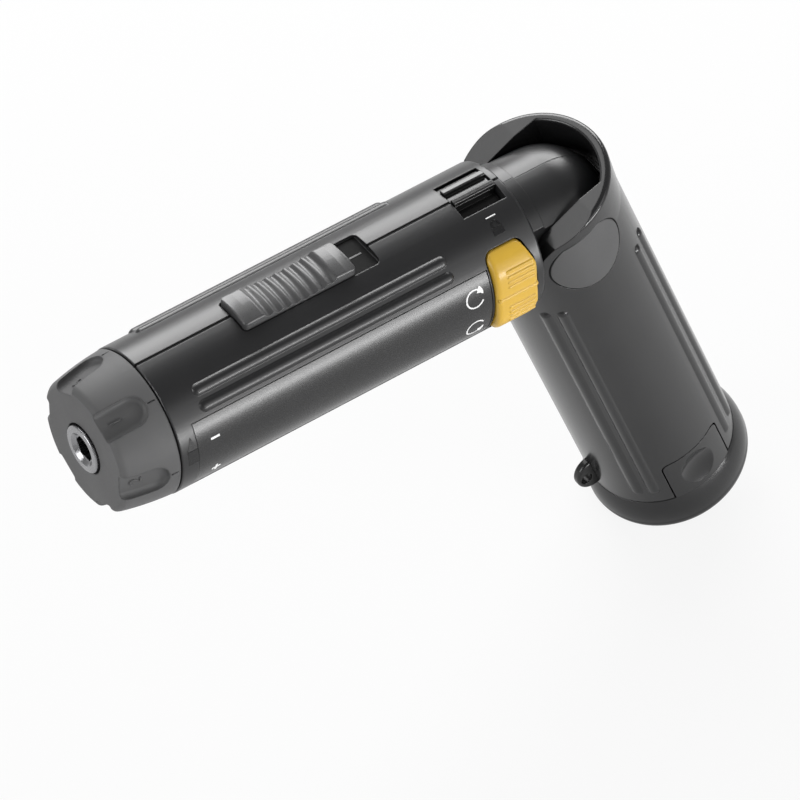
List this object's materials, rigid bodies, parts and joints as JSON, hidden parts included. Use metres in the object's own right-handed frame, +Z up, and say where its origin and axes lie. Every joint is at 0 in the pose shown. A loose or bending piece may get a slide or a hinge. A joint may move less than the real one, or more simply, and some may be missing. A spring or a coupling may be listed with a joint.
{
  "type": "electric screwdriver",
  "caption": "Folding battery screwdriver: round barrel with planetary drive, torque dial, speed slider and rocker switch, hinged in the hood of a ribbed battery handle.",
  "frame": {"origin": "centre of the bit socket's mouth, on the spindle's axis", "axes": "+X out of the nose along the spindle, +Y to the tool's left, +Z up with the barrel level"},
  "size_m": [0.2036, 0.0442, 0.149],
  "materials": {
    "barrel_black": "satin",
    "handle_grey": "matte",
    "hinge_cap_grey": "matte",
    "dial_grey": "matte",
    "slider_grey": "matte",
    "amber": "satin",
    "black_plastic": "satin",
    "label_dark": "satin",
    "spindle_steel": "brushed",
    "plain_steel": "satin",
    "gear_steel": "satin",
    "bronze": "satin",
    "white_nylon": "matte",
    "magnet_dark": "matte",
    "contact_brass": "polished",
    "cell_sleeve": "satin"
  },
  "bodies": {
    "housing": {"housing_left": "barrel_black", "housing_right": "barrel_black", "housing_screws": "plain_steel", "side_label": "label_dark", "rocker_pin": "plain_steel", "switch_module": "black_plastic", "spindle_bushes": "bronze", "gear_case": "black_plastic", "output_ring_gear": "gear_steel", "clutch_balls": "plain_steel", "clutch_washer": "plain_steel", "clutch_spring": "plain_steel", "motor_can": "plain_steel", "motor_end_cap": "black_plastic", "motor_terminals": "contact_brass", "motor_bearings": "bronze", "motor_magnets": "magnet_dark", "motor_plate": "plain_steel", "motor_screws": "plain_steel"},
    "rotor": {"motor_shaft": "plain_steel", "armature": "gear_steel", "commutator": "contact_brass", "motor_pinion": "gear_steel"},
    "first_carrier": {"first_carrier": "gear_steel", "pin_plate": "gear_steel"},
    "spindle": {"spindle": "spindle_steel", "bit_magnet": "magnet_dark", "output_carrier": "gear_steel"},
    "dial": {"torque_dial": "dial_grey"},
    "nut": {"clutch_nut": "white_nylon"},
    "shifter": {"speed_slider": "slider_grey", "shift_fork": "plain_steel", "shift_ring_gear": "white_nylon"},
    "lock": {"lock_slider": "black_plastic"},
    "rocker": {"rocker_button": "amber"},
    "handle": {"handle_shell": "handle_grey", "hinge_cap_left": "hinge_cap_grey", "hinge_cap_right": "hinge_cap_grey", "pivot_pins": "plain_steel", "pivot_washers": "white_nylon", "strap_eyelet": "black_plastic", "terminal_block": "black_plastic", "terminal_blades": "contact_brass"},
    "battery": {"battery_cap": "handle_grey", "battery_case": "black_plastic", "battery_cells": "cell_sleeve", "battery_contacts": "contact_brass"},
    "planet_one_a": {"planet_one_a": "gear_steel"},
    "planet_one_b": {"planet_one_b": "gear_steel"},
    "planet_one_c": {"planet_one_c": "gear_steel"},
    "planet_two_a": {"planet_two_a": "gear_steel"},
    "planet_two_b": {"planet_two_b": "gear_steel"},
    "planet_two_c": {"planet_two_c": "gear_steel"}
  },
  "joints": [
    {"name": "motor_spin", "type": "hinge", "parent": "housing", "child": "rotor", "pos_m": [-0.084, 0, 0], "axis": [1, 0, 0], "continuous": true},
    {"name": "first_carrier_spin", "type": "hinge", "parent": "housing", "child": "first_carrier", "pos_m": [-0.048, 0, 0], "axis": [1, 0, 0], "continuous": true},
    {"name": "spindle_spin", "type": "hinge", "parent": "housing", "child": "spindle", "pos_m": [0, 0, 0], "axis": [1, 0, 0], "continuous": true},
    {"name": "dial_turn", "type": "hinge", "parent": "housing", "child": "dial", "pos_m": [-0.008, 0, 0], "axis": [1, 0, 0], "range_deg": [-120, 180]},
    {"name": "nut_advance", "type": "slide", "parent": "dial", "child": "nut", "axis": [-1, 0, 0], "range_m": [-0.0014, 0.0021], "deforming": ["clutch_spring"]},
    {"name": "speed_shift", "type": "slide", "parent": "housing", "child": "shifter", "axis": [-1, 0, 0], "range_m": [0, 0.0068]},
    {"name": "lock_turn", "type": "hinge", "parent": "housing", "child": "lock", "pos_m": [-0.1176, 0, 0], "axis": [-1, 0, 0], "range_deg": [0, 10]},
    {"name": "rocker_tilt", "type": "hinge", "parent": "housing", "child": "rocker", "pos_m": [-0.1172, 0.01295, 0.00113], "axis": [1, 0, 0], "range_deg": [-6, 6], "stiffness_Nm_per_rad": 0.2},
    {"name": "handle_fold", "type": "hinge", "parent": "housing", "child": "handle", "pos_m": [-0.14, 0, 0], "axis": [0, 1, 0], "range_deg": [0, 70]},
    {"name": "battery_pull", "type": "slide", "parent": "handle", "child": "battery", "axis": [-0.342, 0, -0.9397], "range_m": [0, 0.075]},
    {"name": "planet_one_a_spin", "type": "hinge", "parent": "first_carrier", "child": "planet_one_a", "pos_m": [-0.0528, 0, 0.0075], "axis": [1, 0, 0], "continuous": true},
    {"name": "planet_one_b_spin", "type": "hinge", "parent": "first_carrier", "child": "planet_one_b", "pos_m": [-0.0528, 0.0065, -0.00375], "axis": [1, 0, 0], "continuous": true},
    {"name": "planet_one_c_spin", "type": "hinge", "parent": "first_carrier", "child": "planet_one_c", "pos_m": [-0.0528, -0.0065, -0.00375], "axis": [1, 0, 0], "continuous": true},
    {"name": "planet_two_a_spin", "type": "hinge", "parent": "spindle", "child": "planet_two_a", "pos_m": [-0.0398, 0, 0.0075], "axis": [1, 0, 0], "continuous": true},
    {"name": "planet_two_b_spin", "type": "hinge", "parent": "spindle", "child": "planet_two_b", "pos_m": [-0.0398, 0.0065, -0.00375], "axis": [1, 0, 0], "continuous": true},
    {"name": "planet_two_c_spin", "type": "hinge", "parent": "spindle", "child": "planet_two_c", "pos_m": [-0.0398, -0.0065, -0.00375], "axis": [1, 0, 0], "continuous": true}
  ],
  "couplings": [
    {"joint": "first_carrier_spin", "follows": "motor_spin", "ratio": 0.2},
    {"joint": "spindle_spin", "follows": "motor_spin", "ratio": 0.04},
    {"joint": "nut_advance", "follows": "dial_turn", "m_per_rad": 0.00063662},
    {"joint": "planet_one_a_spin", "follows": "motor_spin", "ratio": -0.53333},
    {"joint": "planet_one_b_spin", "follows": "motor_spin", "ratio": -0.53333},
    {"joint": "planet_one_c_spin", "follows": "motor_spin", "ratio": -0.53333},
    {"joint": "planet_two_a_spin", "follows": "motor_spin", "ratio": -0.10667},
    {"joint": "planet_two_b_spin", "follows": "motor_spin", "ratio": -0.10667},
    {"joint": "planet_two_c_spin", "follows": "motor_spin", "ratio": -0.10667}
  ]
}
